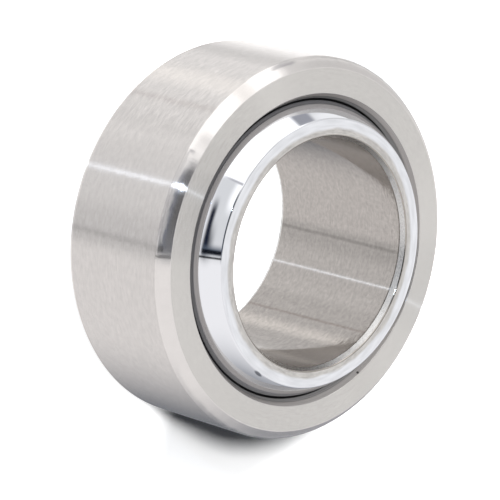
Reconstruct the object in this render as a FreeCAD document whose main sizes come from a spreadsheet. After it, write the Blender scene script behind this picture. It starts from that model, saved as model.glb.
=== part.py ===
import FreeCAD, Part
import math
import os
import Sketcher

# Spherical plain bearing with a dry sliding liner and a 25 mm bore.
#
# The bearing's axis is +Z. The origin is the centre of the ball, which is
# also the middle of both rings. All three pieces are turned, so each is one
# profile in the XZ plane, revolved about Z. Lengths are in millimetres and
# angles in degrees.
#
# The sizes build outwards from the bore: the inner ring's end wall and width
# give the ball, the ball and its clearance give the liner, the liner gives
# the seat in the outer ring, and the seat and the ring's wall give the outside.

doc = FreeCAD.newDocument("SphericalPlainBearing")
sheet = doc.addObject("Spreadsheet::Sheet", "Sizes")
aliases = []


def size(alias, value, meaning):
    """Put one driving size in the next row of the sheet and give it back."""
    aliases.append(alias)
    row = len(aliases)
    sheet.set("A%d" % row, meaning)
    sheet.set("B%d" % row, str(value))
    sheet.setAlias("B%d" % row, alias)
    return value


# Inner ring. Its ball is 35.5 mm across, cut off flat at both ends.
bore_diameter = size("bore_diameter", 25.0, "bore for the shaft")
end_wall = size("end_wall", 2.165, "inner ring's wall at its end faces")
inner_width = size("inner_width", 20.0, "inner ring from end to end")
bore_lead_length = size("bore_lead_length", 0.7, "bore's lead-in along the axis")
bore_lead_depth = size("bore_lead_depth", 0.35, "bore's lead-in along the radius")
rim_round = size("rim_round", 0.25, "round where the ball meets an end face")

# Sliding liner between the ball and the outer ring.
running_clearance = size("running_clearance", 0.04, "ball to liner, on the radius")
liner_thickness = size("liner_thickness", 0.5, "wall of the sliding liner")

# Outer ring, 42 mm across.
ring_wall = size("ring_wall", 2.71, "outer ring's wall at its middle")
outer_width = size("outer_width", 16.0, "outer ring from face to face")

# Mouth of the outer ring. A cone that opens towards the face cuts the ring
# and the liner together, and its depth ends at the ball.
mouth_depth = size("mouth_depth", 1.1, "face to the liner's running edge")
mouth_angle = size("mouth_angle", 34.0, "mouth cone's wall to the axis")

# Outer corners. Each is a polished bevel with a slightly crowned section.
corner_length = size("corner_length", 1.3, "corner along the axis")
corner_depth = size("corner_depth", 1.1, "corner along the radius")
corner_crown = size("corner_crown", 3.0, "radius of the corner's crown")

doc.recompute()

# What follows from the sizes, first as expressions on the sheet, which the
# sketches are bound to, and then as numbers, which place their first points.
INNER_HALF = "Sizes.inner_width / 2"
OUTER_HALF = "Sizes.outer_width / 2"
BORE_RADIUS = "Sizes.bore_diameter / 2"
BALL_RADIUS = "sqrt((%s + Sizes.end_wall)^2 + (%s)^2)" % (BORE_RADIUS, INNER_HALF)
LINER_RADIUS = "%s + Sizes.running_clearance" % BALL_RADIUS
SEAT_RADIUS = "%s + Sizes.liner_thickness" % LINER_RADIUS
OUTER_RADIUS = "%s + Sizes.ring_wall" % SEAT_RADIUS
EDGE_HEIGHT = "%s - Sizes.mouth_depth" % OUTER_HALF
EDGE_RADIUS = "sqrt((%s)^2 - (%s)^2)" % (LINER_RADIUS, EDGE_HEIGHT)
MOUTH_RADIUS = "%s + Sizes.mouth_depth * tan(Sizes.mouth_angle)" % EDGE_RADIUS

inner_half = inner_width / 2
outer_half = outer_width / 2
bore_radius = bore_diameter / 2
end_radius = bore_radius + end_wall
ball_radius = math.hypot(end_radius, inner_half)
liner_radius = ball_radius + running_clearance
seat_radius = liner_radius + liner_thickness
outer_radius = seat_radius + ring_wall
edge_height = outer_half - mouth_depth
edge_radius = math.sqrt(liner_radius**2 - edge_height**2)
mouth_radius = edge_radius + mouth_depth * math.tan(math.radians(mouth_angle))

# Points of a sketch element, and the sketch's own origin and axes.
START = 1
END = 2
CENTRE = 3
ORIGIN = -1
ACROSS_AXIS = -1
BEARING_AXIS = -2


def new_body(name):
    """Start a sub-part under its own name."""
    body = doc.addObject("PartDesign::Body", name)
    body.Label = name
    return body


def new_profile(body):
    """Start a sketch on the body's own XZ plane: X is the radius, Y is Z."""
    sketch = body.newObject("Sketcher::SketchObject", body.Name + "_profile")
    for feature in body.Origin.OriginFeatures:
        if feature.Role == "XZ_Plane":
            sketch.AttachmentSupport = (feature, [""])
    sketch.MapMode = "FlatFace"
    return sketch


def add_line(sketch, start, end):
    """Add a straight edge from one (radius, height) point to another."""
    start_point = FreeCAD.Vector(start[0], start[1], 0)
    end_point = FreeCAD.Vector(end[0], end[1], 0)
    return sketch.addGeometry(Part.LineSegment(start_point, end_point), False)


def add_arc(sketch, centre, start, end):
    """Add an arc that runs anticlockwise about its centre."""
    radius = math.hypot(start[0] - centre[0], start[1] - centre[1])
    start_angle = math.atan2(start[1] - centre[1], start[0] - centre[0])
    end_angle = math.atan2(end[1] - centre[1], end[0] - centre[0])
    centre_point = FreeCAD.Vector(centre[0], centre[1], 0)
    circle = Part.Circle(centre_point, FreeCAD.Vector(0, 0, 1), radius)
    return sketch.addGeometry(Part.ArcOfCircle(circle, start_angle, end_angle), False)


def bind(sketch, constraint, name, expression):
    """Add a dimension and tie it to the sheet."""
    index = sketch.addConstraint(constraint)
    sketch.renameConstraint(index, name)
    sketch.setExpression("Constraints." + name, expression)


def bind_radius_of(sketch, element, point, value, name, expression):
    """Fix how far a point lies from the bearing's axis."""
    constraint = Sketcher.Constraint("DistanceX", ORIGIN, START, element, point, value)
    bind(sketch, constraint, name, expression)


def bind_height_of(sketch, element, point, value, name, expression):
    """Fix how far a point lies above the bearing's middle."""
    constraint = Sketcher.Constraint("DistanceY", ORIGIN, START, element, point, value)
    bind(sketch, constraint, name, expression)


def join_ends(sketch, first, first_point, second, second_point):
    """Make two elements share a point."""
    sketch.addConstraint(Sketcher.Constraint("Coincident", first, first_point, second, second_point))


def blend_ends(sketch, first, first_point, second, second_point):
    """Make two elements share a point and run smoothly into each other."""
    sketch.addConstraint(Sketcher.Constraint("Tangent", first, first_point, second, second_point))


def mirror_points(sketch, upper, upper_point, lower, lower_point):
    """Keep two points mirrored across the bearing's middle plane."""
    sketch.addConstraint(
        Sketcher.Constraint("Symmetric", upper, upper_point, lower, lower_point, ACROSS_AXIS)
    )


def revolve(body, sketch):
    """Turn a profile once round the bearing's axis."""
    turned = body.newObject("PartDesign::Revolution", body.Name + "_turned")
    turned.Profile = sketch
    turned.ReferenceAxis = (sketch, ["V_Axis"])
    turned.Angle = 360
    doc.recompute()


def on_mouth_cone(sphere_radius):
    """Where the mouth's wall crosses a sphere about the ball's centre."""
    slope = math.radians(mouth_angle)
    along = mouth_radius * math.sin(slope) + outer_half * math.cos(slope)
    out = mouth_radius**2 + outer_half**2 - sphere_radius**2
    step = along - math.sqrt(along**2 - out)
    return (mouth_radius - step * math.sin(slope), outer_half - step * math.cos(slope))


def crown_centre(start, end):
    """Centre of the crown's arc through the two ends of an upper corner."""
    chord = math.hypot(end[0] - start[0], end[1] - start[1])
    back = math.sqrt(corner_crown**2 - (chord / 2) ** 2)
    inward = ((start[1] - end[1]) / chord, (end[0] - start[0]) / chord)
    middle = ((start[0] + end[0]) / 2, (start[1] + end[1]) / 2)
    return (middle[0] + back * inward[0], middle[1] + back * inward[1])


def mirrored(point):
    """The same point on the bearing's other side."""
    return (point[0], -point[1])


# Inner ring: the ball, cut off by the end faces and pierced by the bore. Each
# end of the bore has a turned lead-in, and each end face a rounded rim.
inner_ring = new_body("inner_ring")
profile = new_profile(inner_ring)
rim_height = inner_half - rim_round
rim_radius = math.sqrt((ball_radius - rim_round) ** 2 - rim_height**2)
rim_centre = (rim_radius, rim_height)
outward = ball_radius / (ball_radius - rim_round)
ball_end = (rim_radius * outward, rim_height * outward)
face_edge = (rim_radius, inner_half)
lead_mouth = (bore_radius + bore_lead_depth, inner_half)
bore_end = (bore_radius, inner_half - bore_lead_length)

ball = add_arc(profile, (0, 0), mirrored(ball_end), ball_end)
upper_rim = add_arc(profile, rim_centre, ball_end, face_edge)
upper_end = add_line(profile, face_edge, lead_mouth)
upper_lead = add_line(profile, lead_mouth, bore_end)
bore = add_line(profile, bore_end, mirrored(bore_end))
lower_lead = add_line(profile, mirrored(bore_end), mirrored(lead_mouth))
lower_end = add_line(profile, mirrored(lead_mouth), mirrored(face_edge))
lower_rim = add_arc(profile, mirrored(rim_centre), mirrored(face_edge), mirrored(ball_end))
blend_ends(profile, ball, END, upper_rim, START)
blend_ends(profile, upper_rim, END, upper_end, START)
join_ends(profile, upper_end, END, upper_lead, START)
join_ends(profile, upper_lead, END, bore, START)
join_ends(profile, bore, END, lower_lead, START)
join_ends(profile, lower_lead, END, lower_end, START)
blend_ends(profile, lower_end, END, lower_rim, START)
blend_ends(profile, lower_rim, END, ball, START)
join_ends(profile, ball, CENTRE, ORIGIN, START)
mirror_points(profile, bore, START, bore, END)
mirror_points(profile, upper_end, END, lower_end, START)
profile.addConstraint(Sketcher.Constraint("Horizontal", upper_end))
profile.addConstraint(Sketcher.Constraint("Horizontal", lower_end))
profile.addConstraint(Sketcher.Constraint("Equal", upper_rim, lower_rim))
bind(profile, Sketcher.Constraint("Radius", ball, ball_radius), "ball_radius", BALL_RADIUS)
bind(profile, Sketcher.Constraint("Radius", upper_rim, rim_round), "rim_round", "Sizes.rim_round")
bind_radius_of(profile, bore, START, bore_end[0], "bore_radius", BORE_RADIUS)
bind_height_of(
    profile, bore, START, bore_end[1], "bore_end", INNER_HALF + " - Sizes.bore_lead_length"
)
bind_radius_of(
    profile, upper_end, END, lead_mouth[0], "lead_mouth", BORE_RADIUS + " + Sizes.bore_lead_depth"
)
bind_height_of(profile, upper_end, END, lead_mouth[1], "half_width", INNER_HALF)
revolve(inner_ring, profile)

# Sliding liner: a shell between two spheres. The mouth's cone trims its edges.
sliding_liner = new_body("sliding_liner")
profile = new_profile(sliding_liner)
running_edge = (edge_radius, edge_height)
seat_edge = on_mouth_cone(seat_radius)

running_face = add_arc(profile, (0, 0), mirrored(running_edge), running_edge)
back_face = add_arc(profile, (0, 0), mirrored(seat_edge), seat_edge)
upper_edge = add_line(profile, running_edge, seat_edge)
lower_edge = add_line(profile, mirrored(running_edge), mirrored(seat_edge))
join_ends(profile, upper_edge, START, running_face, END)
join_ends(profile, upper_edge, END, back_face, END)
join_ends(profile, lower_edge, START, running_face, START)
join_ends(profile, lower_edge, END, back_face, START)
join_ends(profile, running_face, CENTRE, ORIGIN, START)
join_ends(profile, back_face, CENTRE, ORIGIN, START)
mirror_points(profile, running_face, END, running_face, START)
mirror_points(profile, back_face, END, back_face, START)
running = Sketcher.Constraint("Radius", running_face, liner_radius)
bind(profile, running, "running_radius", LINER_RADIUS)
bind(profile, Sketcher.Constraint("Radius", back_face, seat_radius), "back_radius", SEAT_RADIUS)
bind_height_of(profile, running_face, END, edge_height, "edge_height", EDGE_HEIGHT)
leaning = Sketcher.Constraint(
    "Angle", upper_edge, START, BEARING_AXIS, START, math.radians(mouth_angle)
)
bind(profile, leaning, "mouth_angle", "Sizes.mouth_angle")
revolve(sliding_liner, profile)

# Outer ring: ground outside and faces, crowned corners, conical mouths and
# the spherical seat that holds the liner.
outer_ring = new_body("outer_ring")
profile = new_profile(outer_ring)
side_end = (outer_radius, outer_half - corner_length)
face_end = (outer_radius - corner_depth, outer_half)
mouth_end = (mouth_radius, outer_half)
centre = crown_centre(side_end, face_end)

outside = add_line(profile, mirrored(side_end), side_end)
upper_corner = add_arc(profile, centre, side_end, face_end)
upper_face = add_line(profile, face_end, mouth_end)
upper_mouth = add_line(profile, mouth_end, seat_edge)
seat = add_arc(profile, (0, 0), mirrored(seat_edge), seat_edge)
lower_mouth = add_line(profile, mirrored(seat_edge), mirrored(mouth_end))
lower_face = add_line(profile, mirrored(mouth_end), mirrored(face_end))
lower_corner = add_arc(profile, mirrored(centre), mirrored(face_end), mirrored(side_end))
join_ends(profile, outside, END, upper_corner, START)
join_ends(profile, upper_corner, END, upper_face, START)
join_ends(profile, upper_face, END, upper_mouth, START)
join_ends(profile, upper_mouth, END, seat, END)
join_ends(profile, seat, START, lower_mouth, START)
join_ends(profile, lower_mouth, END, lower_face, START)
join_ends(profile, lower_face, END, lower_corner, START)
join_ends(profile, lower_corner, END, outside, START)
join_ends(profile, seat, CENTRE, ORIGIN, START)
mirror_points(profile, outside, END, outside, START)
mirror_points(profile, upper_face, START, lower_face, END)
mirror_points(profile, upper_face, END, lower_face, START)
mirror_points(profile, seat, END, seat, START)
profile.addConstraint(Sketcher.Constraint("Horizontal", upper_face))
profile.addConstraint(Sketcher.Constraint("Equal", upper_corner, lower_corner))
bind(profile, Sketcher.Constraint("Radius", seat, seat_radius), "seat_radius", SEAT_RADIUS)
bind(profile, Sketcher.Constraint("Radius", upper_corner, corner_crown), "crown", "Sizes.corner_crown")
bind_radius_of(profile, outside, END, side_end[0], "outer_radius", OUTER_RADIUS)
bind_height_of(profile, outside, END, side_end[1], "side_end", OUTER_HALF + " - Sizes.corner_length")
bind_radius_of(
    profile, upper_face, START, face_end[0], "face_end", OUTER_RADIUS + " - Sizes.corner_depth"
)
bind_height_of(profile, upper_face, START, face_end[1], "half_width", OUTER_HALF)
bind_radius_of(profile, upper_face, END, mouth_end[0], "mouth_radius", MOUTH_RADIUS)
leaning = Sketcher.Constraint(
    "Angle", upper_mouth, END, BEARING_AXIS, START, math.radians(mouth_angle)
)
bind(profile, leaning, "mouth_angle", "Sizes.mouth_angle")
revolve(outer_ring, profile)

doc.recompute()

for thing in doc.Objects:
    if "Invalid" in thing.State or "Error" in thing.State:
        raise RuntimeError("%s did not build" % thing.Name)

os.makedirs("parts", exist_ok=True)
for body in (outer_ring, sliding_liner, inner_ring):
    if body.Shape.isNull() or not body.Shape.isValid() or len(body.Shape.Solids) != 1:
        raise RuntimeError("%s is not one sound solid" % body.Label)
    body.Shape.exportStep("parts/%s.step" % body.Label)
    print(body.Label, "volume", round(body.Shape.Volume, 3), "mm3")
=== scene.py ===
import math

import bmesh
import bpy
from bpy.props import FloatProperty, FloatVectorProperty, IntProperty, PointerProperty
from mathutils import Matrix, Vector


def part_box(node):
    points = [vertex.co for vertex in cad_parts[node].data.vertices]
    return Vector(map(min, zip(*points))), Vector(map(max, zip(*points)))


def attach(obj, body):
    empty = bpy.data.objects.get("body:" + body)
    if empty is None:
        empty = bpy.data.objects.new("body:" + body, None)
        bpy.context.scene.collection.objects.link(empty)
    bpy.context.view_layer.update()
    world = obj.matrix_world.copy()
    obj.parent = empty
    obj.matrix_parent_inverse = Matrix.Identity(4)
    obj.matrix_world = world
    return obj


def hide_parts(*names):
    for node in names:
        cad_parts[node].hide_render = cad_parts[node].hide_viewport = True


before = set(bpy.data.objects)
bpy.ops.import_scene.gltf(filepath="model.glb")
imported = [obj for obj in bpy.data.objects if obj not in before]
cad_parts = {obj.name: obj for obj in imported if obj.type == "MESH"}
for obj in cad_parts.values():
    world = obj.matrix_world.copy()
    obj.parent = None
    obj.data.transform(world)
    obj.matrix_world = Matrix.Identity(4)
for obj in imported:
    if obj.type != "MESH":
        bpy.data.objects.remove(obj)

bl_info = {
    "name": "Spherical Plain Bearing",
    "version": (1, 0, 0),
    "blender": (4, 5, 0),
    "location": "3D Viewport > Sidebar > Bearing",
    "description": "A spherical plain bearing of three turned pieces, with its finishes and a studio",
    "category": "Add Mesh",
}

MM = 0.001

# The outer ring's reach, from the frame. Every piece stays inside it.
RING_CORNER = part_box("outer_ring")[1]
RING_RADIUS = min(RING_CORNER.x, RING_CORNER.y)
RING_HALF = RING_CORNER.z
INNER_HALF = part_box("inner_ring")[1].z


def length(label, about, millimetres):
    """A size in the sidebar, given in millimetres and kept in metres."""
    return FloatProperty(
        name=label, description=about, default=millimetres * MM, precision=5, unit="LENGTH"
    )


def angle(label, about, degrees):
    """An angle in the sidebar, given in degrees and kept in radians."""
    return FloatProperty(
        name=label, description=about, default=math.radians(degrees), unit="ROTATION"
    )


def linear(hex_code):
    """An sRGB hex colour as the linear colour that shaders take."""
    channels = [int(hex_code[i : i + 2], 16) / 255 for i in (1, 3, 5)]
    return [c / 12.92 if c <= 0.04045 else ((c + 0.055) / 1.055) ** 2.4 for c in channels]


def colour(label, about, hex_code):
    """A colour in the sidebar, given as an sRGB hex value."""
    return FloatVectorProperty(
        name=label, description=about, default=linear(hex_code), subtype="COLOR", min=0, max=1
    )


class BearingSizes(bpy.types.PropertyGroup):
    """Sizes of the three turned pieces. Radii are measured from the bearing's axis."""

    outside_radius: length("Outside Radius", "Ground outside of the outer ring", RING_RADIUS / MM)
    ring_half: length("Outer Half Width", "Middle to face of the outer ring", RING_HALF / MM)
    corner_length: length("Corner Length", "Polished corner along the axis", 1.3)
    corner_depth: length("Corner Depth", "Polished corner along the radius", 1.1)
    corner_crown: length("Corner Crown", "Radius of the corner's crowned section", 3.0)
    mouth_depth: length("Mouth Depth", "Face to the liner's running edge", 1.1)
    mouth_angle: angle("Mouth Angle", "Mouth cone's wall to the axis", 34.0)
    seat_radius: length("Seat Radius", "Spherical seat that holds the liner", 18.29)
    liner_radius: length("Liner Radius", "Running face of the sliding liner", 17.79)
    ball_radius: length("Ball Radius", "Polished ball of the inner ring", 17.75)
    inner_half: length("Inner Half Width", "Middle to end face of the inner ring", INNER_HALF / MM)
    rim_round: length("Rim Round", "Round where the ball meets an end face", 0.25)
    bore_radius: length("Bore Radius", "Ground bore for the shaft", 12.5)
    lead_length: length("Lead-in Length", "Bore's lead-in along the axis", 0.7)
    lead_depth: length("Lead-in Depth", "Bore's lead-in along the radius", 0.35)
    edge_break: length("Edge Break", "Tiny round left on every cut edge", 0.07)
    film_edge: length("Film Edge", "Round of the liner's running edge", 0.13)
    lead_rim: length("Lead-in Rim", "Round between end face and lead-in", 0.12)
    columns: IntProperty(
        name="Columns", description="Faces round the axis", default=256, min=32, max=512
    )


class BearingColours(bpy.types.PropertyGroup):
    """Colours of the finishes."""

    ground_steel: colour("Ground Steel", "Outside of the outer ring", "#CECAC8")
    ground_face: colour("Ground Face", "Faces of the outer ring", "#CECBC8")
    polished_steel: colour("Polished Steel", "Corners of the outer ring", "#DEDAD8")
    mouth_steel: colour("Mouth Steel", "Turned cone of the outer ring's mouth", "#B7B2AE")
    composite: colour("Composite", "Edge of the sliding liner", "#8F8D8C")
    # Nearly black: the film's own dark colour with the gap's painted shade in it.
    film: colour("Film", "Running face of the sliding liner", "#1C1B1B")
    chrome: colour("Chrome", "Hard chrome on the ball", "#DEDFE3")
    ground_end: colour("Ground End", "Inner part of the inner ring's end face", "#C0BDBA")
    polished_edge: colour("Polished Edge", "Thin round edge of the bore's lead-in", "#A39E99")
    lead_in: colour("Lead-in", "Turned lead-in of the bore", "#DAD9D8")
    bore_steel: colour("Bore Steel", "Ground bore of the inner ring", "#B5B0AC")


class StudioSettings(bpy.types.PropertyGroup):
    """Camera and lamps, from the way the bearing is seen in the photograph."""

    view_height: angle("View Height", "Camera above the bearing's middle plane", 45.55)
    view_roll: angle("View Roll", "Camera's turn about its line of sight", 104.36)
    view_distance: length("View Distance", "Camera to the point it looks at", 322.72)
    aim_across: length("Aim Across", "Where it looks, along X", 1.49)
    aim_along: length("Aim Along", "Where it looks, along Y", -0.43)
    aim_up: length("Aim Up", "Where it looks, along Z", -0.42)
    # The floor's painted glow, which covers its shade: where it ends before the bearing, how far
    # under the bore it reaches and where it comes back far off.
    glow_end: length("Glow End", "Where the floor's own light has gone, along Y", 4.5)
    glow_fade: length("Glow Fade", "Length over which the floor's own light goes", 7.0)
    far_glow: length("Far Glow", "Distance from the axis at which the glow comes back", 31.0)
    far_glow_fade: length("Far Glow Fade", "Length over which the glow comes back", 8.0)
    near_glow: length("Near Glow", "Distance from the axis up to which the floor glows", 12.9)
    near_glow_fade: length("Near Glow Fade", "Length over which that glow goes", 1.4)
    lens: FloatProperty(
        name="Lens", description="Focal length in millimetres", default=212.06, min=10, max=400
    )


def add_node(tree, kind, settings=None, inputs=None):
    """Add a node, change its settings and fill its sockets with values or links.

    A node given as a value is linked by its first output.
    """
    node = tree.nodes.new(kind)
    for name, value in (settings or {}).items():
        setattr(node, name, value)
    for key, value in (inputs or {}).items():
        if isinstance(value, bpy.types.Node):
            value = value.outputs[0]
        if isinstance(value, bpy.types.NodeSocket):
            tree.links.new(value, node.inputs[key])
        else:
            node.inputs[key].default_value = value
    return node


# Kinds and settings that many nodes share.
MATH = "ShaderNodeMath"
VECTOR_MATH = "ShaderNodeVectorMath"
ADD = {"operation": "ADD"}
LENGTH = {"operation": "LENGTH"}
MAXIMUM = {"operation": "MAXIMUM"}
MULTIPLY = {"operation": "MULTIPLY"}
MULTIPLY_ADD = {"operation": "MULTIPLY_ADD"}
NORMALIZE = {"operation": "NORMALIZE"}
SCALE = {"operation": "SCALE"}
RADIAL = {"direction_type": "RADIAL", "axis": "Z"}
SMOOTHSTEP = {"interpolation_type": "SMOOTHSTEP"}
COLOUR_MIX = {"data_type": "RGBA"}
INTEGER = {"data_type": "INT"}


# Turned pieces. A section is a closed walk round one side of a piece, made of
# strokes: (name, finish, rows, points). Two points make a straight stroke and
# three an arc through its middle point. A point is (radius, height).

# Rows of faces along an arc: a tiny round, the ball's rim, a corner, the hidden spheres and
# the ball.
BREAK_ROWS = 4
RIM_ROWS = 10
CORNER_ROWS = 12
SPHERE_ROWS = 24
BALL_ROWS = 48

# Share of the way from a corner to its straight cut at which a tiny arc has its middle, about
# what a round of a square corner has.
ARC_DEPTH = 0.6

# Degrees down the running face to the point that the liner's lip rounds towards.
LIP_STEP = 1.0

# Degrees on each side of the ball's middle that are never seen and have wider rows.
BALL_MIDDLE = 14.0

# Points of neighbouring strokes that lie closer than this are joined.
WELD_GAP = 0.002 * MM


def on_circle(centre, radius, degrees):
    """A point of a circle in the section plane."""
    turn = math.radians(degrees)
    return (centre[0] + radius * math.cos(turn), centre[1] + radius * math.sin(turn))


def toward(start, end, distance):
    """The point that lies a distance from start on the way to end."""
    gap = math.hypot(end[0] - start[0], end[1] - start[1])
    share = distance / gap
    return (start[0] + (end[0] - start[0]) * share, start[1] + (end[1] - start[1]) * share)


def mirrored(point):
    """The same point on the bearing's other side."""
    return (point[0], -point[1])


def other_side(strokes):
    """The strokes of the lower half, walked in the same sense as the upper half's."""
    return [
        (name + " back", finish, rows, [mirrored(p) for p in reversed(points)])
        for name, finish, rows, points in reversed(strokes)
    ]


def rounded(before, corner, after, size):
    """A tiny arc that cuts a size off both sides of a corner, as its three points."""
    start = toward(corner, before, size)
    end = toward(corner, after, size)
    sag = ((start[0] + end[0]) / 2, (start[1] + end[1]) / 2)
    return [start, toward(corner, sag, math.dist(corner, sag) * ARC_DEPTH), end]


def broken(strokes, size):
    """Round every corner between two strokes by a tiny arc that cuts a size off each."""
    eased = []
    for (name, finish, rows, points), after in zip(strokes, strokes[1:] + strokes[:1]):
        arc = rounded(points[-2], points[-1], after[3][1], size)
        eased.append([name, finish, rows, [*points[:-1], arc[0]]])
        eased.append([name + " break", finish, BREAK_ROWS, arc])
    for i in range(0, len(eased), 2):
        eased[i][3][0] = eased[i - 1][3][-1]
    return eased


def turning_group():
    """Node group that turns one stroke about the axis as a grid of columns and rows."""
    tree = bpy.data.node_groups.new("turn_stroke", "GeometryNodeTree")
    sockets = tree.interface
    sockets.new_socket("Stroke", in_out="INPUT", socket_type="NodeSocketGeometry")
    for name in ("Columns", "Rows", "Number", "Finish"):
        sockets.new_socket(name, in_out="INPUT", socket_type="NodeSocketInt")
    sockets.new_socket("Strip", in_out="OUTPUT", socket_type="NodeSocketGeometry")
    given = add_node(tree, "NodeGroupInput").outputs
    across, along = (
        add_node(tree, MATH, ADD, {0: given[name], 1: 1.0})
        for name in ("Columns", "Rows")
    )
    grid = add_node(
        tree,
        "GeometryNodeMeshGrid",
        inputs={"Size X": 1.0, "Size Y": 1.0, "Vertices X": across, "Vertices Y": along},
    )
    vertex = add_node(tree, "GeometryNodeInputPosition")
    place = add_node(tree, "ShaderNodeSeparateXYZ", inputs={0: vertex})
    share = add_node(tree, MATH, ADD, {0: place.outputs["Y"], 1: 0.5})
    turn = add_node(tree, MATH, MULTIPLY, {0: place.outputs["X"], 1: math.tau})
    sampled = add_node(
        tree,
        "GeometryNodeSampleCurve",
        {"mode": "FACTOR"},
        {"Curves": given["Stroke"], "Factor": share},
    )
    turned = add_node(
        tree,
        "ShaderNodeVectorRotate",
        {"rotation_type": "Z_AXIS"},
        {"Vector": sampled.outputs["Position"], "Angle": turn},
    )
    strip = add_node(
        tree,
        "GeometryNodeSetPosition",
        inputs={"Geometry": grid.outputs["Mesh"], "Position": turned},
    )
    for name, value in (("stroke", given["Number"]), ("finish", given["Finish"])):
        strip = add_node(
            tree,
            "GeometryNodeStoreNamedAttribute",
            {"data_type": "INT", "domain": "FACE"},
            {"Geometry": strip, "Name": name, "Value": value},
        )
    add_node(tree, "NodeGroupOutput", inputs={"Strip": strip})
    return tree


def named_points(stroke, points):
    """The points of a stroke, each with the name that its socket has in the lathe's tree."""
    words = ("start", "middle", "end") if len(points) == 3 else ("start", "end")
    return [(stroke + " " + word, point) for word, point in zip(words, points)]


def lathe_tree(name, strokes, finishes):
    """Geometry Nodes tree that turns a section, with an input for each point of it."""
    tree = bpy.data.node_groups.new(name, "GeometryNodeTree")
    sockets = tree.interface
    sockets.new_socket("Geometry", in_out="OUTPUT", socket_type="NodeSocketGeometry")
    sockets.new_socket("Columns", in_out="INPUT", socket_type="NodeSocketInt")
    sockets.new_socket("Weld", in_out="INPUT", socket_type="NodeSocketFloat")
    for stroke, finish, rows, points in strokes:
        for label, point in named_points(stroke, points):
            sockets.new_socket(label, in_out="INPUT", socket_type="NodeSocketVector")
    given = add_node(tree, "NodeGroupInput").outputs
    turning = bpy.data.node_groups.get("turn_stroke") or turning_group()
    joined = add_node(tree, "GeometryNodeJoinGeometry")
    for number, (stroke, finish, rows, points) in enumerate(strokes):
        if len(points) == 3:
            line = add_node(
                tree,
                "GeometryNodeCurveArc",
                {"mode": "POINTS"},
                {
                    "Resolution": rows + 1,
                    "Start": given[stroke + " start"],
                    "Middle": given[stroke + " middle"],
                    "End": given[stroke + " end"],
                },
            )
        else:
            line = add_node(
                tree,
                "GeometryNodeCurvePrimitiveLine",
                inputs={"Start": given[stroke + " start"], "End": given[stroke + " end"]},
            )
        strip = add_node(
            tree,
            "GeometryNodeGroup",
            {"node_tree": turning},
            {
                "Stroke": line.outputs["Curve"],
                "Columns": given["Columns"],
                "Rows": rows,
                "Number": number,
                "Finish": finishes.index(finish),
            },
        )
        tree.links.new(strip.outputs["Strip"], joined.inputs["Geometry"])
    welded = add_node(
        tree, "GeometryNodeMergeByDistance", inputs={"Geometry": joined, "Distance": given["Weld"]}
    )
    number = add_node(tree, "GeometryNodeInputNamedAttribute", INTEGER, {"Name": "stroke"})
    borders = add_node(
        tree, "GeometryNodeMeshFaceSetBoundaries", inputs={0: number.outputs["Attribute"]}
    )
    smooth = add_node(tree, "GeometryNodeSetShadeSmooth", inputs={"Geometry": welded})
    creased = add_node(
        tree,
        "GeometryNodeSetShadeSmooth",
        {"domain": "EDGE"},
        {"Geometry": smooth, "Selection": borders, "Shade Smooth": False},
    )
    last = add_node(tree, "GeometryNodeRealizeInstances", inputs={0: creased})
    finish = add_node(tree, "GeometryNodeInputNamedAttribute", INTEGER, {"Name": "finish"})
    for index, material in enumerate(finishes):
        chosen = add_node(
            tree,
            "FunctionNodeCompare",
            {"data_type": "INT", "operation": "EQUAL"},
            {2: finish.outputs["Attribute"], 3: index},
        )
        last = add_node(
            tree,
            "GeometryNodeSetMaterial",
            inputs={"Geometry": last, "Selection": chosen, "Material": material},
        )
    add_node(tree, "NodeGroupOutput", inputs={"Geometry": last})
    return tree


def turn_piece(name, strokes, finishes, columns):
    """Turn a section by its tree and give back the finished piece as a plain mesh."""
    tree = lathe_tree(name + "_lathe", strokes, finishes)
    holder = bpy.data.objects.new(name + "_section", bpy.data.meshes.new(name + "_section"))
    bpy.context.scene.collection.objects.link(holder)
    lathe = holder.modifiers.new("Lathe", "NODES")
    lathe.node_group = tree
    values = {"Columns": columns, "Weld": WELD_GAP}
    for stroke, finish, rows, points in strokes:
        for label, (radius, height) in named_points(stroke, points):
            values[label] = (radius, 0.0, height)
    for item in tree.interface.items_tree:
        if item.in_out == "INPUT" and item.name in values:
            lathe[item.identifier] = values[item.name]
    holder.update_tag()
    bpy.context.view_layer.update()
    evaluated = holder.evaluated_get(bpy.context.evaluated_depsgraph_get())
    mesh = bpy.data.meshes.new_from_object(evaluated)
    mesh.name = name
    bpy.data.objects.remove(holder)
    points_out(mesh)
    piece = bpy.data.objects.new(name, mesh)
    bpy.context.scene.collection.objects.link(piece)
    return piece


def points_out(mesh):
    """Recalculate the normals of a welded, closed mesh so that they point outwards."""
    turned = bmesh.new()
    turned.from_mesh(mesh)
    bmesh.ops.recalc_face_normals(turned, faces=turned.faces)
    turned.to_mesh(mesh)
    turned.free()


def sphere_arc(name, finish, rows, radius, start, end):
    """A stroke along a sphere about the ball's centre, between two heights in degrees."""
    return (
        name,
        finish,
        rows,
        [on_circle((0, 0), radius, a) for a in (start, (start + end) / 2, end)],
    )


def angle_of(point):
    """Degrees by which a point lies above the middle plane, seen from the ball's centre."""
    return math.degrees(math.atan2(point[1], point[0]))


def running_edge(sizes):
    """Where the mouth's wall meets the liner's running face."""
    height = sizes.ring_half - sizes.mouth_depth
    return (math.sqrt(sizes.liner_radius**2 - height**2), height)


def mouth_point(sizes, sphere_radius):
    """Where the mouth's wall crosses a sphere about the ball's centre."""
    edge_radius, edge_height = running_edge(sizes)
    slope = (math.sin(sizes.mouth_angle), math.cos(sizes.mouth_angle))
    along = edge_radius * slope[0] + edge_height * slope[1]
    step = math.sqrt(along**2 + sphere_radius**2 - sizes.liner_radius**2) - along
    return (edge_radius + step * slope[0], edge_height + step * slope[1])


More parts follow.
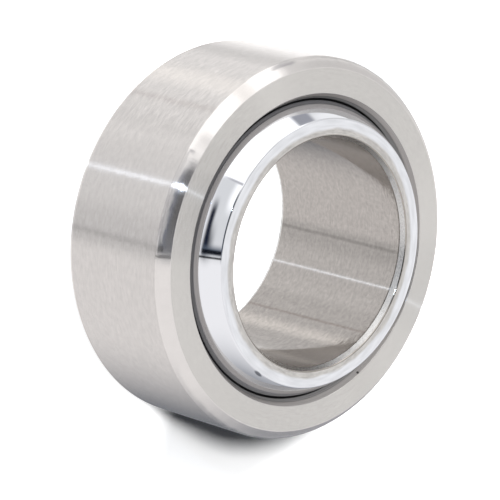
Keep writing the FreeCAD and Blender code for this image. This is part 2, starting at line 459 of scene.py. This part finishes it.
def crown(start, end, radius):
    """Middle point of a shallow arc of a radius that bulges away from the axis."""
    half = math.dist(start, end) / 2
    sag = radius - math.sqrt(radius**2 - half**2)
    middle = ((start[0] + end[0]) / 2, (start[1] + end[1]) / 2)
    out = ((end[1] - start[1]) / half / 2, (start[0] - end[0]) / half / 2)
    return (middle[0] + out[0] * sag, middle[1] + out[1] * sag)


def outer_ring_section(sizes, steel, corner, face, mouth):
    """Section of the outer ring, walked anticlockwise from the middle of its outside."""
    side_end = (sizes.outside_radius, sizes.ring_half - sizes.corner_length)
    face_end = (sizes.outside_radius - sizes.corner_depth, sizes.ring_half)
    mouth_width = sizes.mouth_depth * math.tan(sizes.mouth_angle)
    mouth_end = (running_edge(sizes)[0] + mouth_width, sizes.ring_half)
    seat_end = mouth_point(sizes, sizes.seat_radius)
    arc = [side_end, crown(side_end, face_end, sizes.corner_crown), face_end]
    upper = [
        ("corner", corner, CORNER_ROWS, arc),
        ("face", face, 1, [face_end, mouth_end]),
        ("mouth", mouth, 1, [mouth_end, seat_end]),
    ]
    half = angle_of(seat_end)
    seat = sphere_arc("seat", mouth, SPHERE_ROWS, sizes.seat_radius, half, -half)
    side = ("outside", steel, 1, [mirrored(side_end), side_end])
    return [side, *upper, seat, *other_side(upper)]


def liner_section(sizes, composite, film):
    """Section of the sliding liner, a shell between two spheres, its running face all film."""
    running = mouth_point(sizes, sizes.liner_radius)
    back = mouth_point(sizes, sizes.seat_radius)
    below = on_circle((0, 0), sizes.liner_radius, angle_of(running) - LIP_STEP)
    lip = rounded(back, running, below, sizes.film_edge)
    lower_lip = [mirrored(point) for point in reversed(lip)]
    face_half = angle_of(lip[2])
    back_half = angle_of(back)
    face = sphere_arc("running", film, SPHERE_ROWS, math.hypot(*lip[2]), face_half, -face_half)
    return [
        sphere_arc("back", composite, SPHERE_ROWS, sizes.seat_radius, -back_half, back_half),
        ("upper edge", composite, 1, [back, lip[0]]),
        ("upper lip", film, BREAK_ROWS, lip),
        face,
        ("lower lip", film, BREAK_ROWS, lower_lip),
        ("lower edge", composite, 1, [lower_lip[-1], mirrored(back)]),
    ]


def inner_ring_section(sizes, chrome, end, edge, lead, bore):
    """Section of the inner ring, walked anticlockwise from the middle of its ball."""
    rim_height = sizes.inner_half - sizes.rim_round
    rim_radius = math.sqrt((sizes.ball_radius - sizes.rim_round) ** 2 - rim_height**2)
    rim_angle = angle_of((rim_radius, rim_height))
    rim_angles = (rim_angle, (rim_angle + 90) / 2, 90)
    rim = [on_circle((rim_radius, rim_height), sizes.rim_round, a) for a in rim_angles]
    lead_mouth = (sizes.bore_radius + sizes.lead_depth, sizes.inner_half)
    bore_end = (sizes.bore_radius, sizes.inner_half - sizes.lead_length)
    upper_edge = rounded(rim[-1], lead_mouth, bore_end, sizes.lead_rim)
    lower_edge = rounded(lead_mouth, bore_end, mirrored(bore_end), sizes.edge_break)
    ball = sizes.ball_radius
    upper = [
        sphere_arc("ball", chrome, BALL_ROWS, ball, BALL_MIDDLE, rim_angle),
        ("rim", chrome, RIM_ROWS, rim),
        ("end", end, 1, [rim[-1], upper_edge[0]]),
        ("lead rim", edge, BREAK_ROWS, upper_edge),
        ("lead", lead, 1, [upper_edge[-1], lower_edge[0]]),
        ("lead edge", bore, BREAK_ROWS, lower_edge),
    ]
    middle = sphere_arc("ball middle", chrome, SPHERE_ROWS, ball, -BALL_MIDDLE, BALL_MIDDLE)
    wall = ("bore", bore, 1, [lower_edge[-1], mirrored(lower_edge[-1])])
    return [middle, *upper, wall, *other_side(upper)]


# Finishes. The grinding wheel and the turning tool went round the bearing's axis, so every
# cut surface has fine lines that run round. They throw light far along the section and hardly
# at all round the ring, which draws each lamp out to a streak across the surface.

# Marks on the surfaces: length round the axis and width across it in millimetres, and layers
# of finer noise. The real lines are finer, and these are as coarse as they need to show.
GRINDING_LINES = (1.2, 0.12, 2.0)
GRINDING_BLOTCHES = (0.7, 0.45, 2.0)
GRINDING_WANDER = (0.3, 0.2, 1.0)
FILM_GRAIN = (1.0, 0.3, 1.0)
CHROME_WAVES = (6.0, 0.9, 1.0)
EDGE_MARKS = (1.5, 0.2, 1.0)
LEAD_SPECKS = (0.5, 0.22, 2.0)
END_WAVES = (6.0, 2.0, 2.0)
END_FLECKS = (0.9, 0.15, 2.0)
END_STREAKS = (3.0, 0.3, 1.0)
END_PATCHES = (3.5, 0.4, 1.0)
TURNING_RUN = 60

# The part of the noise's range that is drawn out to the marks' full range.
NOISE_LOW = 0.3
NOISE_HIGH = 0.7

# Turn of the gloss, as a share of a whole turn, that stretches it across the lines.
ACROSS_LINES = 0.25

# The end face's border in millimetres: radii where the ground part ends and the buffed part
# begins, and how far it wanders.
GROUND_END = 13.25
BUFFED_START = 13.65
BORDER_WANDER = 0.3


def new_finish(name, colour, roughness, metallic=1.0, anisotropy=0.0):
    """A material with one Principled shader whose gloss stretches across lines that run round."""
    material = bpy.data.materials.new(name)
    material.use_nodes = True
    tree = material.node_tree
    shader = tree.nodes["Principled BSDF"]
    shader.inputs["Base Color"].default_value = (*colour, 1)
    shader.inputs["Metallic"].default_value = metallic
    shader.inputs["Roughness"].default_value = roughness
    shader.inputs["Anisotropic"].default_value = anisotropy
    if anisotropy:
        shader.inputs["Anisotropic Rotation"].default_value = ACROSS_LINES
        tangent = add_node(tree, "ShaderNodeTangent", RADIAL)
        tree.links.new(tangent.outputs[0], shader.inputs["Tangent"])
    return material, tree, shader


def flat_place(tree):
    """The shaded point's place with its height along the bearing's axis left out."""
    place = add_node(tree, "ShaderNodeTexCoord").outputs["Object"]
    return add_node(tree, VECTOR_MATH, MULTIPLY, {0: place, 1: (1, 1, 0)})


def radius_of(tree):
    """Distance of the shaded point from the bearing's axis, in metres."""
    return add_node(tree, VECTOR_MATH, LENGTH, {0: flat_place(tree)}).outputs["Value"]


def round_and_across(tree, run, width):
    """Coordinates for marks that run round the axis, from their length and width."""
    place = add_node(tree, "ShaderNodeTexCoord").outputs["Object"]
    axes = add_node(tree, "ShaderNodeSeparateXYZ", inputs={0: place})
    heading = add_node(tree, VECTOR_MATH, NORMALIZE, {0: flat_place(tree)})
    around = add_node(tree, VECTOR_MATH, SCALE, {0: heading, "Scale": RING_RADIUS / run})
    across = add_node(tree, MATH, ADD, {0: radius_of(tree), 1: axes.outputs["Z"]})
    across = add_node(tree, MATH, {"operation": "DIVIDE"}, {0: across, 1: width})
    offset = add_node(tree, "ShaderNodeCombineXYZ", inputs={"Z": across})
    return add_node(tree, VECTOR_MATH, ADD, {0: around, 1: offset})


def marks(tree, run, width, layers):
    """Noise from 0 to 1, drawn out to marks that run round the axis."""
    place = round_and_across(tree, run * MM, width * MM)
    noise = add_node(
        tree, "ShaderNodeTexNoise", inputs={"Vector": place, "Scale": 1.0, "Detail": layers}
    )
    return add_node(
        tree,
        "ShaderNodeMapRange",
        inputs={"Value": noise, "From Min": NOISE_LOW, "From Max": NOISE_HIGH},
    )


def tilt_across(tree, shader, heights, amount, lean=0.0, wander=0.0):
    """Tip the surface across its lines by a pattern, as their flanks do, and a little along."""
    normal = add_node(tree, "ShaderNodeNewGeometry").outputs["Normal"]
    around = add_node(tree, "ShaderNodeTangent", RADIAL)
    across = add_node(tree, VECTOR_MATH, {"operation": "CROSS_PRODUCT"}, {0: normal, 1: around})
    ways = [(across, heights, amount, lean)]
    if wander:
        ways.append((around, marks(tree, *GRINDING_WANDER), wander, 0.0))
    tipped = normal
    for way, pattern, most, always in ways:
        part = add_node(tree, MATH, MULTIPLY_ADD, {0: pattern, 1: 2 * most, 2: always - most})
        flank = add_node(tree, VECTOR_MATH, SCALE, {0: way, "Scale": part})
        tipped = add_node(tree, VECTOR_MATH, ADD, {0: tipped, 1: flank})
    tipped = add_node(tree, VECTOR_MATH, NORMALIZE, {0: tipped})
    tree.links.new(tipped.outputs[0], shader.inputs["Normal"])


def shaded(tree, pattern, colour, low, high):
    """A colour that goes by a pattern between two shades of it, given as shares of it."""
    ends = [(*[min(c * share, 1) for c in colour], 1) for share in (low, high)]
    return add_node(
        tree, "ShaderNodeMix", COLOUR_MIX, {"Factor": pattern, "A": ends[0], "B": ends[1]}
    ).outputs["Result"]


def shade_by(tree, shader, pattern, colour, change):
    """Vary the shader's colour by a pattern, by a share of it to each side."""
    tone = shaded(tree, pattern, colour, 1 - change, 1 + change)
    tree.links.new(tone, shader.inputs["Base Color"])


def average(tree, first, second):
    """The mean of two patterns."""
    both = add_node(tree, MATH, ADD, {0: first, 1: second})
    return add_node(tree, MATH, MULTIPLY, {0: both, 1: 0.5})


# Where the two small darker spots that show lie, in millimetres: a short streak on the ball's rim and
# a speck in the mouth.
RIM_SPOT = (14.0, -4.75, 9.82)
MOUTH_SPOT = (11.7, 12.4, 7.78)

# Roughness and anisotropy of the light that the grinding lines scatter, where they are fine and
# where they are coarse.
FINE_LINES = (0.25, 0.9)
COARSE_LINES = (0.265, 0.885)


def ground_finish(name, colour, roughness, lines, spread, tilt, change, wander, lean=0.0):
    """Ground steel: a gloss that shows shapes, and light that its lines throw far across them.

    Spread is the share of that light, tilt how far the lines' flanks tip, change how much the
    colour varies, wander how far the surface tips along the lines and lean how far it leans.
    """
    material, tree, shader = new_finish(name, colour, roughness, anisotropy=1.0)
    strokes = marks(tree, *GRINDING_LINES)
    blotches = marks(tree, *GRINDING_BLOTCHES)
    tilt_across(tree, shader, strokes, tilt, lean, wander)
    shade_by(tree, shader, average(tree, strokes, blotches), colour, change)
    scatter = add_node(
        tree,
        "ShaderNodeBsdfAnisotropic",
        {"distribution": "GGX"},
        {
            "Roughness": lines[0],
            "Anisotropy": lines[1],
            "Color": shader.inputs["Base Color"].links[0].from_socket,
            "Normal": shader.inputs["Normal"].links[0].from_socket,
            "Tangent": shader.inputs["Tangent"].links[0].from_socket,
        },
    )
    both = add_node(tree, "ShaderNodeMixShader", inputs={0: spread, 1: shader, 2: scatter})
    tree.links.new(both.outputs[0], tree.nodes["Material Output"].inputs["Surface"])
    return material


def dark_spot(tree, shader, centre, along, stretch, size, tone):
    """Darken the shader's colour in a small spot, drawn out in a direction."""
    place = add_node(tree, "ShaderNodeTexCoord").outputs["Object"]
    offset = add_node(
        tree, VECTOR_MATH, {"operation": "SUBTRACT"}, {0: place, 1: [c * MM for c in centre]}
    )
    run = add_node(tree, VECTOR_MATH, {"operation": "DOT_PRODUCT"}, {0: offset, 1: along})
    shorten = add_node(tree, MATH, MULTIPLY, {0: run.outputs["Value"], 1: 1 / stretch - 1})
    shift = add_node(tree, VECTOR_MATH, SCALE, {0: along, "Scale": shorten})
    spot = add_node(tree, VECTOR_MATH, ADD, {0: offset, 1: shift})
    gap = add_node(tree, VECTOR_MATH, LENGTH, {0: spot})
    inside = add_node(
        tree,
        "ShaderNodeMapRange",
        SMOOTHSTEP,
        {"Value": gap.outputs["Value"], "From Min": size, "From Max": size / 2},
    )
    socket = shader.inputs["Base Color"]
    before = socket.links[0].from_socket if socket.links else tuple(socket.default_value)
    spotted = add_node(
        tree, "ShaderNodeMix", COLOUR_MIX, {"Factor": inside, "A": before, "B": (*linear(tone), 1)}
    )
    tree.links.new(spotted.outputs["Result"], socket)


def turned_finish(name, colour, roughness, metallic, tilt, change, pitch):
    """A surface with the fine even lines that a turning tool leaves, a pitch apart."""
    material, tree, shader = new_finish(name, colour, roughness, metallic)
    lines = marks(tree, TURNING_RUN, pitch, 1.0)
    tilt_across(tree, shader, lines, tilt)
    shade_by(tree, shader, lines, colour, change)
    return material


def mouth_finish(colour):
    """The outer ring's mouth: turned steel with one small darker spot."""
    material = turned_finish(
        "turned_steel_mouth", colour, roughness=0.4, metallic=1.0, tilt=0.2, change=0.15, pitch=0.2
    )
    tree = material.node_tree
    shader = tree.nodes["Principled BSDF"]
    dark_spot(tree, shader, MOUTH_SPOT, along=(0, 0, 1), stretch=1.0, size=0.22 * MM, tone="#4A4746")
    return material


def film_and_gap_shade_finish(colour):
    """The liner's sliding film, a dark dull plastic, made nearly black also as painted shade of the
    gap round the ball.
    """
    material, tree, shader = new_finish("sliding_film_and_gap_shade", colour, roughness=0.55, metallic=0.0)
    shade_by(tree, shader, marks(tree, *FILM_GRAIN), colour, change=0.3)
    return material


def chrome_finish(colour):
    """Hard chrome, polished after plating, so it is a mirror with the faintest waviness."""
    material, tree, shader = new_finish("hard_chrome_ball", colour, roughness=0.05)
    tilt_across(tree, shader, marks(tree, *CHROME_WAVES), amount=0.005)
    along = (0.41, 0.91, -0.04)
    dark_spot(tree, shader, RIM_SPOT, along, stretch=3.0, size=0.28 * MM, tone="#84868C")
    return material


def edge_finish(colour):
    """The polished edge of the lead-in, coloured darker than the lead-in so that it shows as a thin
    dark line.
    """
    material, tree, shader = new_finish("polished_edge", colour, roughness=0.12)
    shade_by(tree, shader, marks(tree, *EDGE_MARKS), colour, change=0.1)
    return material


def end_finish(chrome, ground):
    """End face of the inner ring: buffed bright outside, ground and mottled towards the bore."""
    material, tree, shader = new_finish("buffed_and_ground_end", chrome, roughness=0.28)
    border = add_node(
        tree,
        MATH,
        MULTIPLY_ADD,
        {0: marks(tree, *END_WAVES), 1: -BORDER_WANDER * MM, 2: radius_of(tree)},
    )
    buffed = add_node(
        tree,
        "ShaderNodeMapRange",
        SMOOTHSTEP,
        {"Value": border, "From Min": GROUND_END * MM, "From Max": BUFFED_START * MM},
    )
    flecks = average(tree, marks(tree, *END_FLECKS), marks(tree, *END_STREAKS))
    patches = marks(tree, *END_PATCHES)
    both = add_node(
        tree,
        "ShaderNodeMix",
        COLOUR_MIX,
        {
            "Factor": buffed,
            "A": shaded(tree, flecks, ground, low=0.78, high=1.22),
            "B": shaded(tree, patches, chrome, low=0.93, high=1.08),
        },
    )
    tree.links.new(both.outputs["Result"], shader.inputs["Base Color"])
    tilt_across(tree, shader, flecks, amount=0.05)
    return material


def lead_finish(colour):
    """The bore's lead-in, turned and left rough, so it sparkles in small specks."""
    material, tree, shader = new_finish("turned_lead_in", colour, roughness=0.34)
    specks = marks(tree, *LEAD_SPECKS)
    shade_by(tree, shader, specks, colour, change=0.28)
    tilt_across(tree, shader, specks, amount=0.1)
    return material


def studio_axes(studio):
    """Right, up and towards the viewer, as the camera sees them, in the frame."""
    height = studio.view_height
    roll = studio.view_roll
    level_right = Vector((1, 0, 0))
    level_up = Vector((0, math.sin(height), math.cos(height)))
    viewer = Vector((0, -math.cos(height), math.sin(height)))
    right = level_right * math.cos(roll) + level_up * math.sin(roll)
    up = level_up * math.cos(roll) - level_right * math.sin(roll)
    return right, up, viewer


def hang_lamp(kind, name, energy, up, direction):
    """Hang a lamp in a direction from the bearing, facing it and level in the picture."""
    lamp = bpy.data.objects.new(name, bpy.data.lights.new(name, kind))
    bpy.context.scene.collection.objects.link(lamp)
    lamp.data.energy = energy
    side = up.cross(direction).normalized()
    place = Matrix((side, direction.cross(side), direction)).transposed().to_4x4()
    place.translation = direction * LAMP_DISTANCE
    lamp.matrix_world = place
    return lamp


class BEARING_OT_outer_ring(bpy.types.Operator):
    """Turn the outer ring and give it its ground and polished finishes"""

    bl_idname = "bearing.outer_ring"
    bl_label = "Outer Ring"

    def execute(self, context):
        sizes = context.scene.bearing_sizes
        colours = context.scene.bearing_colours
        # Satin silver grey with fine lines round it, and a thin bright streak from the lamp.
        steel = ground_finish(
            "ground_steel_outside",
            colours.ground_steel,
            roughness=0.22,
            lines=COARSE_LINES,
            spread=0.25,
            tilt=0.13,
            change=0.07,
            wander=0.008,
        )
        # Smoother than the rest: a clear pale band that turns white at the top and dark beside
        # the lamp's bright spot.
        corner = ground_finish(
            "polished_steel_corner",
            colours.polished_steel,
            roughness=0.13,
            lines=FINE_LINES,
            spread=0.35,
            tilt=0.05,
            change=0.02,
            wander=0.004,
        )
        # An even pale grey with faint circles, whose lines lean outwards a little.
        face = ground_finish(
            "ground_steel_face",
            colours.ground_face,
            roughness=0.25,
            lines=COARSE_LINES,
            spread=0.12,
            tilt=0.12,
            change=0.03,
            wander=0.0,
            lean=-0.085,
        )
        # A duller, darker grey with fine rings, and one dark speck.
        mouth = mouth_finish(colours.mouth_steel)
        strokes = broken(outer_ring_section(sizes, steel, corner, face, mouth), sizes.edge_break)
        piece = turn_piece("outer_ring_turned", strokes, [steel, corner, face, mouth], sizes.columns)
        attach(piece, "outer")
        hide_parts("outer_ring")
        return {"FINISHED"}


class BEARING_OT_sliding_liner(bpy.types.Operator):
    """Form the sliding liner, a shell between two spheres"""

    bl_idname = "bearing.sliding_liner"
    bl_label = "Sliding Liner"

    def execute(self, context):
        sizes = context.scene.bearing_sizes
        colours = context.scene.bearing_colours
        # A dull grey band with fine rings, between the mouth and the black gap.
        composite = turned_finish(
            "sintered_composite",
            colours.composite,
            roughness=0.5,
            metallic=0.7,
            tilt=0.2,
            change=0.35,
            pitch=0.22,
        )
        # Nearly black and dull, with painted shade of the gap in its colour, so that the gap round
        # the ball is one thin dark line.
        film = film_and_gap_shade_finish(colours.film)
        strokes = liner_section(sizes, composite, film)
        piece = turn_piece("sliding_liner_shell", strokes, [composite, film], sizes.columns)
        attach(piece, "outer")
        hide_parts("sliding_liner")
        return {"FINISHED"}


class BEARING_OT_inner_ring(bpy.types.Operator):
    """Turn the inner ring and give it its chromed ball and ground bore"""

    bl_idname = "bearing.inner_ring"
    bl_label = "Inner Ring"

    def execute(self, context):
        sizes = context.scene.bearing_sizes
        colours = context.scene.bearing_colours
        # A cool clear mirror: white soft boxes above, a pale opening with dark edges at the side.
        chrome = chrome_finish(colours.chrome)
        # A bright bluish band outside and a warm mottled grey one inside, with a wavy border.
        end = end_finish(colours.chrome, colours.ground_end)
        # One thin line round the bore's mouth, darker in colour than the lead-in.
        edge = edge_finish(colours.polished_edge)
        # A narrow speckled ring, bright low down and grey at the side.
        lead = lead_finish(colours.lead_in)
        # A warm grey with a fine grain, dark where it mirrors itself, and one line from the lamp.
        bore = ground_finish(
            "ground_bore",
            colours.bore_steel,
            roughness=0.09,
            lines=FINE_LINES,
            spread=0.28,
            tilt=0.03,
            change=0.14,
            wander=0.003,
        )
        finishes = [chrome, end, edge, lead, bore]
        strokes = inner_ring_section(sizes, *finishes)
        piece = turn_piece("inner_ring_turned", strokes, finishes, sizes.columns)
        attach(piece, "inner")
        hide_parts("inner_ring")
        return {"FINISHED"}


def light_paths(tree):
    """A number that is 1 on rays that show the background: seen, mirrored or through glass."""
    path = add_node(tree, "ShaderNodeLightPath")
    shows = 0.0
    for ray in ("Is Camera Ray", "Is Glossy Ray", "Is Transmission Ray"):
        shows = add_node(tree, MATH, MAXIMUM, {0: path.outputs[ray], 1: shows})
    return shows


# What stands round the bearing, placed by where the metal mirrors it to the camera. Each
# panel has the turn round the axis and the slope of the surfaces that show it, in degrees,
# as low, high and soft edge, and then its colour and strength. Turn 270 faces the viewer,
# slope 0 is the outside of the ring and slope 90 its face.
TENT = (
    ("far wall", (80, 200, 9), (-90, 18, 6), "#FFFFFF", 1.9),
    ("tent floor", (284, 460, 2), (-90, 90, 1), "#F9F8F8", 1.2),
    ("right wall", (80, 460, 2), (66, 91, 6), "#FFFFFF", 1.03),
    ("right wall, lit", (80, 130, 12), (60, 88, 6), "#FFFFFF", 1.22),
    ("right wall, lit on", (412, 460, 12), (60, 88, 6), "#FFFFFF", 1.22),
    ("soft box", (209, 243, 4), (10, 60, 5), "#FFFFFF", 1.9),
    ("soft box, lower edge", (234, 250.3, 1), (16, 34, 3), "#FFFFFF", 1.7),
    ("ceiling joint", (221, 228, 3), (-60, 60, 5), "#FFFEFC", 1.45),
    ("far corner", (148, 200, 8), (36, 66, 8), "#FFFFFF", 0.8),
    ("far corner, lower", (152, 196, 8), (25, 30, 3), "#FFFFFF", 0.4),
    ("far window", (170, 201, 4), (30, 35, 1), "#FFFFFF", 1.15),
    ("soft box frame", (202.5, 211.5, 1.5), (27, 34, 2), "#F4F6FF", 0.47),
    ("above opening", (246, 272, 4), (-60, 14, 6), "#FFFFFF", 1.15),
    ("opening", (250.5, 281.3, 0.6), (26.4, 64, 0.6), "#F3F4F5", 1.0),
    ("opening, sunlit", (246, 262, 4), (31.6, 64, 1.2), "#FFFFFF", 1.5),
    ("opening, upper edge", (249.4, 250.4, 0.5), (27, 42, 3), "#C8C8CE", 0.9),
    ("opening, lower", (255, 281.3, 5), (35, 64, 2), "#7C8EB4", 0.4),
    ("opening, far side", (258, 281.3, 4), (13, 26.4, 1.0), "#F6F6F8", 1.15),
    ("room", (253, 281.3, 4), (42, 64, 6), "#A4A8B0", 0.35),
    ("dark room", (258, 274, 4), (44, 60, 6), "#FFFFFF", 0.05),
    ("room beside", (222, 268, 6), (62, 78, 6), "#FFFFFF", 0.6),
    ("dark side", (261, 281.3, 4), (26.6, 28.3, 0.6), "#141C30", 1.0),
    ("dark side, lower", (272, 281.3, 7), (26.6, 29.6, 1.6), "#182034", 1.0),
    ("sill shade", (278.2, 281.2, 1.8), (26.6, 40, 0.5), "#5A6474", 1.0),
    ("sill", (279.4, 281.2, 0.5), (26.6, 40, 0.5), "#10141E", 1.0),
    ("sill, far side", (279.4, 281.0, 0.5), (-30, 20, 4), "#FFFFFF", 0.72),
    ("rail", (234.2, 235.6, 0.6), (-8, 8, 4), "#FFF8F6", 0.72),
    ("lip line", (282.2, 283.0, 0.2), (22, 60, 2), "#14161C", 1.0),
    ("own shade", (331, 425, 22), (-90, 33, 6), "#CCD8EC", 0.25),
    ("own shade, upper", (344, 425, 22), (33, 62, 6), "#DCE2EE", 0.42),
)
VIEWER_TURN = 270

# The lamps that light the floor and cast the shadows: direction towards the lamp in the frame,
# strength and the width of the lamp in degrees.
SUNS = (
    ("key_lamp", (-0.19, -0.82, 1.0), 3.4, 7),
    ("fill_lamp", (-0.40, -0.58, 1.0), 1.4, 26),
)

# The bare lamp that draws the thin streak, and the bluish glow round it: size in millimetres,
# power in watts and colour. The rise is how far above the camera both hang.
SMALL_LAMPS = (
    ("small_lamp", 4, 0.25, "#EEF7FF"),
    ("small_lamp_glow", 18, 0.05, "#A8CCFF"),
)
SMALL_LAMP_RISE = math.radians(13)

# Metres from the bearing to each lamp, and the side of the floor.
LAMP_DISTANCE = 0.5
FLOOR_SIZE = 3.0

# Linear colours: the tent where it has no panel, the dim room that lights what is dull, the
# white behind all that the camera sees, and the floor.
TENT_WHITE = (0.98, 0.98, 0.98)
ROOM_FILL = (0.055, 0.058, 0.065)
SEEN_WHITE = (1.1, 1.1, 1.1)
FLOOR_WHITE = (0.9, 0.9, 0.9)

# The camera's sensor in millimetres, and the nearest that it sees, in metres.
SENSOR_WIDTH = 36.0
NEAREST_SEEN = 0.01


def tent_colour(tree, viewer):
    """Colour of the surroundings by direction, from the panels of the tent."""
    towards = add_node(tree, "ShaderNodeTexCoord").outputs["Generated"]
    halfway = add_node(tree, VECTOR_MATH, ADD, {0: towards, 1: viewer})
    halfway = add_node(tree, VECTOR_MATH, NORMALIZE, {0: halfway})
    axes = add_node(tree, "ShaderNodeSeparateXYZ", inputs={0: halfway})
    back = add_node(tree, MATH, MULTIPLY, {0: axes.outputs["Y"], 1: -1.0})
    turn = add_node(tree, MATH, {"operation": "ARCTAN2"}, {0: axes.outputs["X"], 1: back})
    turn = add_node(tree, MATH, ADD, {0: turn, 1: math.radians(VIEWER_TURN)})
    slope = add_node(tree, MATH, {"operation": "ARCSINE"}, {0: axes.outputs["Z"]})
    shown = (*TENT_WHITE, 1)
    for name, turns, slopes, tone, strength in TENT:
        mask = 1.0
        for place, (low, high, soft) in ((turn, turns), (slope, slopes)):
            for none, full in ((low - soft, low + soft), (high + soft, high - soft)):
                edge = add_node(
                    tree,
                    "ShaderNodeMapRange",
                    SMOOTHSTEP,
                    {"Value": place, "From Min": math.radians(none), "From Max": math.radians(full)},
                )
                mask = add_node(tree, MATH, MULTIPLY, {0: mask, 1: edge})
        tone = [c * strength for c in linear(tone)]
        shown = add_node(
            tree,
            "ShaderNodeMix",
            {"data_type": "RGBA", "label": name},
            {"Factor": mask, "A": shown, "B": (*tone, 1)},
        ).outputs["Result"]
    return shown


def paper_finish(studio):
    """The floor: dull white acrylic with a painted glow, seen by the camera and in mirrors only, that
    covers its shade except where the shadow lies.
    """
    paper = bpy.data.materials.new("white_acrylic_with_painted_glow")
    paper.use_nodes = True
    tree = paper.node_tree
    shader = tree.nodes["Principled BSDF"]
    shader.inputs["Base Color"].default_value = (*FLOOR_WHITE, 1)
    shader.inputs["Roughness"].default_value = 1.0
    shader.inputs["Specular IOR Level"].default_value = 0.0
    shader.inputs["Emission Color"].default_value = (1, 1, 1, 1)
    place = add_node(tree, "ShaderNodeTexCoord").outputs["Object"]
    behind = add_node(tree, "ShaderNodeSeparateXYZ", inputs={0: place}).outputs["Y"]
    away = radius_of(tree)
    # Where the floor has its painted glow, which covers its real shade: before the bearing, under it
    # and far from it. Each fade has what is measured, where there is no glow and where it is full.
    # The shadow shows only between.
    fades = (
        (behind, studio.glow_end, studio.glow_end - studio.glow_fade),
        (away, studio.near_glow + studio.near_glow_fade, studio.near_glow),
        (away, studio.far_glow, studio.far_glow + studio.far_glow_fade),
    )
    glowing = 0.0
    for measured, none, full in fades:
        fade = add_node(
            tree,
            "ShaderNodeMapRange",
            SMOOTHSTEP,
            {"Value": measured, "From Min": none, "From Max": full},
        )
        glowing = add_node(tree, MATH, MAXIMUM, {0: fade, 1: glowing})
    glow = add_node(tree, MATH, MULTIPLY, {0: light_paths(tree), 1: glowing})
    tree.links.new(glow.outputs[0], shader.inputs["Emission Strength"])
    return paper


class BEARING_OT_studio(bpy.types.Operator):
    """Set up the floor, the soft light and the camera"""

    bl_idname = "bearing.studio"
    bl_label = "Studio"

    def execute(self, context):
        scene = context.scene
        studio = scene.bearing_studio
        right, up, viewer = studio_axes(studio)

        camera = bpy.data.objects.new("camera", bpy.data.cameras.new("camera"))
        scene.collection.objects.link(camera)
        camera.data.sensor_width = SENSOR_WIDTH
        camera.data.lens = studio.lens
        camera.data.clip_start = NEAREST_SEEN
        aim = Vector((studio.aim_across, studio.aim_along, studio.aim_up))
        place = Matrix((right, up, viewer)).transposed().to_4x4()
        place.translation = aim + viewer * studio.view_distance
        camera.matrix_world = place
        scene.camera = camera

        world = bpy.data.worlds.new("studio")
        scene.world = world
        world.use_nodes = True
        tree = world.node_tree
        path = add_node(tree, "ShaderNodeLightPath")
        shown = tent_colour(tree, viewer)
        # Metal mirrors the tent, light that has met a dull surface finds the dim room, and the
        # camera sees white.
        for ray, tone in (("Diffuse Depth", ROOM_FILL), ("Is Camera Ray", SEEN_WHITE)):
            shown = add_node(
                tree,
                "ShaderNodeMix",
                COLOUR_MIX,
                {"Factor": path.outputs[ray], "A": shown, "B": (*tone, 1)},
            ).outputs["Result"]
        tree.links.new(shown, tree.nodes["Background"].inputs["Color"])

        bpy.ops.mesh.primitive_plane_add(size=FLOOR_SIZE, location=(0, 0, -INNER_HALF))
        floor = context.object
        floor.name = "floor"
        floor.visible_glossy = False
        # Pure white all over, partly from its painted glow, but for the soft grey shadow beside the
        # ring's lower edge.
        floor.data.materials.append(paper_finish(studio))

        for name, direction, energy, spread in SUNS:
            lamp = hang_lamp("SUN", name, energy, up, Vector(direction).normalized())
            lamp.data.angle = math.radians(spread)
            lamp.visible_glossy = False

        above = up * math.sin(SMALL_LAMP_RISE) + viewer * math.cos(SMALL_LAMP_RISE)
        for name, size, energy, tint in SMALL_LAMPS:
            lamp = hang_lamp("AREA", name, energy, up, above)
            lamp.data.shape = "DISK"
            lamp.data.size = size * MM
            lamp.data.color = linear(tint)
            lamp.visible_camera = False
        return {"FINISHED"}


class VIEW3D_PT_bearing(bpy.types.Panel):
    """Sidebar panel that lists the pieces and the studio"""

    bl_label = "Bearing"
    bl_space_type = "VIEW_3D"
    bl_region_type = "UI"
    bl_category = "Bearing"

    def draw(self, context):
        for operator in OPERATORS:
            self.layout.operator(operator.bl_idname)
        for group in ("bearing_sizes", "bearing_colours", "bearing_studio"):
            settings = getattr(context.scene, group)
            box = self.layout.box()
            for name in settings.bl_rna.properties.keys():
                if name not in ("rna_type", "name"):
                    box.prop(settings, name)


OPERATORS = (
    BEARING_OT_outer_ring,
    BEARING_OT_sliding_liner,
    BEARING_OT_inner_ring,
    BEARING_OT_studio,
)
CLASSES = (BearingSizes, BearingColours, StudioSettings, *OPERATORS, VIEW3D_PT_bearing)


def register():
    for item in CLASSES:
        bpy.utils.register_class(item)
    bpy.types.Scene.bearing_sizes = PointerProperty(type=BearingSizes)
    bpy.types.Scene.bearing_colours = PointerProperty(type=BearingColours)
    bpy.types.Scene.bearing_studio = PointerProperty(type=StudioSettings)


def unregister():
    del bpy.types.Scene.bearing_studio
    del bpy.types.Scene.bearing_colours
    del bpy.types.Scene.bearing_sizes
    for item in reversed(CLASSES):
        bpy.utils.unregister_class(item)


def main():
    register()
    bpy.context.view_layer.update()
    bpy.context.scene.view_settings.view_transform = "Standard"
    bpy.ops.bearing.outer_ring()
    bpy.ops.bearing.sliding_liner()
    bpy.ops.bearing.inner_ring()
    bpy.ops.bearing.studio()


if __name__ == "__main__":
    main()
